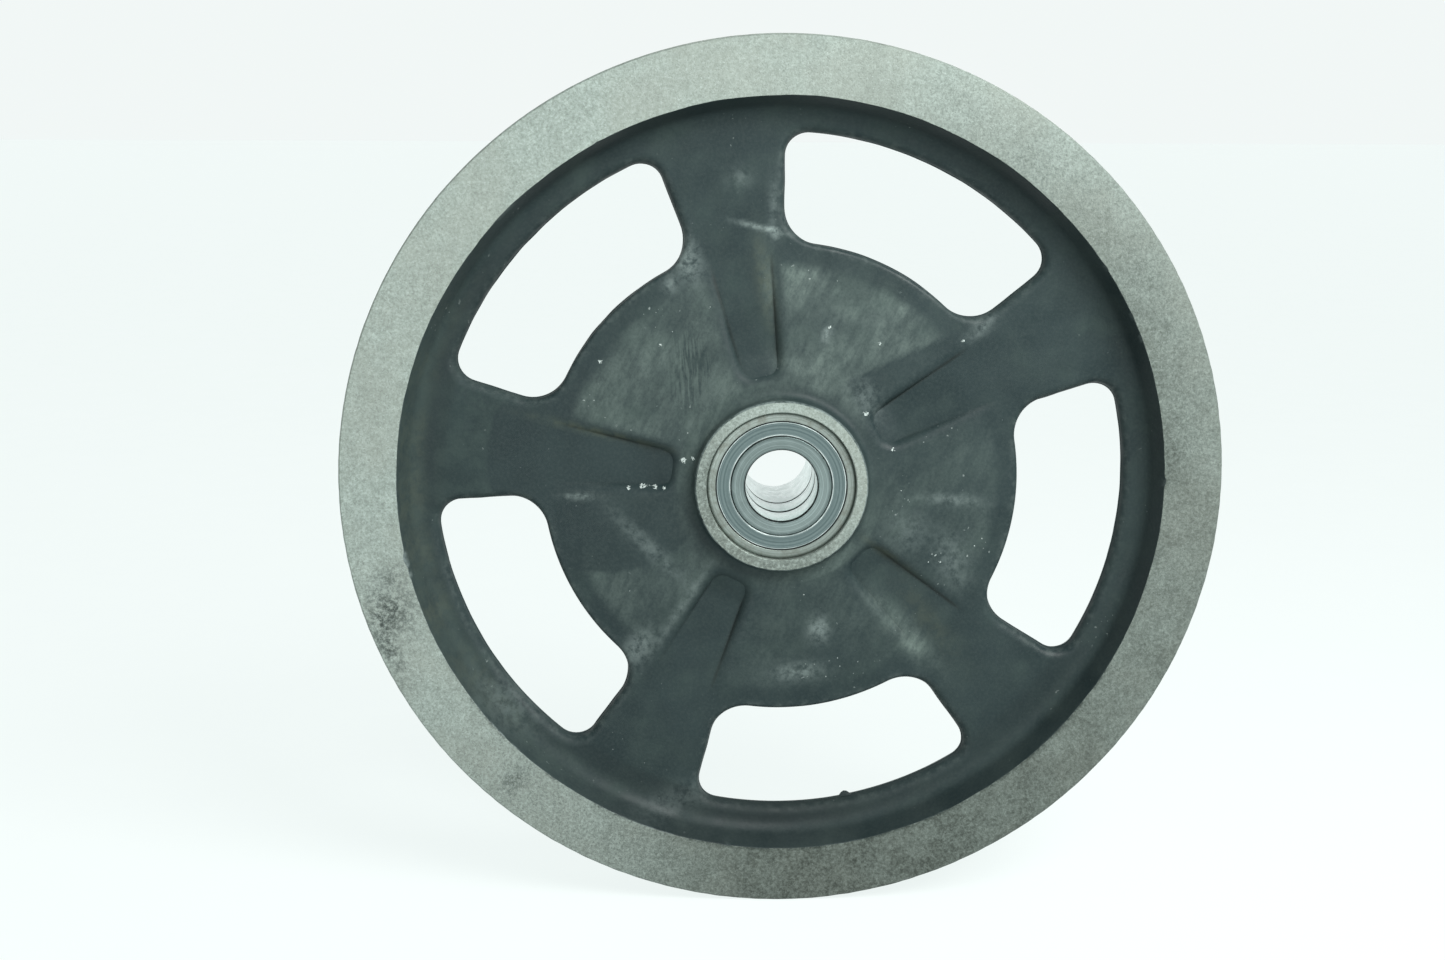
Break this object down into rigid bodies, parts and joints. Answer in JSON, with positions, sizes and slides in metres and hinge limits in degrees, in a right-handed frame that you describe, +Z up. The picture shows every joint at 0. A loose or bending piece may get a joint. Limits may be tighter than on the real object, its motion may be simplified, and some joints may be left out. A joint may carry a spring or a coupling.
{
  "type": "v belt pulley",
  "caption": "Spoked cast idler pulley with a V groove in its rim, turning on sealed ball bearings with a spacer sleeve behind the hub.",
  "frame": {"origin": "centre of the wheel: on the shaft bore's axis, in the middle plane of the rim", "axes": "+Z up, +Y along the axle from the front of the wheel towards the sleeve at its back, +X to the right seen from the front"},
  "size_m": [0.305, 0.0628, 0.305],
  "materials": {
    "casting": "dark satin paint over a fine cast surface, with bare, mottled machined faces on the rim and the boss",
    "bearing_ring": "ground bearing steel, dulled by handling",
    "shield": "dark brushed sheet steel",
    "ball": "polished",
    "cage": "pressed sheet steel",
    "rivet": "plain",
    "retaining_ring": "black phosphate spring steel",
    "sleeve": "turned steel, lightly stained"
  },
  "bodies": {
    "shaft_side": {"front_inner_ring": "bearing_ring", "rear_inner_ring": "bearing_ring", "spacer_sleeve": "sleeve"},
    "wheel": {"pulley_casting": "casting", "front_outer_ring": "bearing_ring", "rear_outer_ring": "bearing_ring", "front_shield_out": "shield", "front_shield_in": "shield", "rear_shield_out": "shield", "rear_shield_in": "shield", "retaining_ring": "retaining_ring"},
    "front_ball_set": {"front_cage_front": "cage", "front_cage_back": "cage", "front_cage_rivets": "rivet", "front_ball_1": "ball", "front_ball_2": "ball", "front_ball_3": "ball", "front_ball_4": "ball", "front_ball_5": "ball", "front_ball_6": "ball", "front_ball_7": "ball", "front_ball_8": "ball", "front_ball_9": "ball"},
    "rear_ball_set": {"rear_cage_front": "cage", "rear_cage_back": "cage", "rear_cage_rivets": "rivet", "rear_ball_1": "ball", "rear_ball_2": "ball", "rear_ball_3": "ball", "rear_ball_4": "ball", "rear_ball_5": "ball", "rear_ball_6": "ball", "rear_ball_7": "ball", "rear_ball_8": "ball", "rear_ball_9": "ball"}
  },
  "joints": [
    {"name": "pulley_spin", "type": "hinge", "parent": "shaft_side", "child": "wheel", "pos_m": [0, 0, 0], "axis": [0, 1, 0], "continuous": true},
    {"name": "front_cage_spin", "type": "hinge", "parent": "shaft_side", "child": "front_ball_set", "pos_m": [0, 0, 0], "axis": [0, 1, 0], "continuous": true},
    {"name": "rear_cage_spin", "type": "hinge", "parent": "shaft_side", "child": "rear_ball_set", "pos_m": [0, 0, 0], "axis": [0, 1, 0], "continuous": true}
  ],
  "couplings": [
    {"joint": "front_cage_spin", "follows": "pulley_spin", "ratio": 0.6015},
    {"joint": "rear_cage_spin", "follows": "pulley_spin", "ratio": 0.6015}
  ]
}
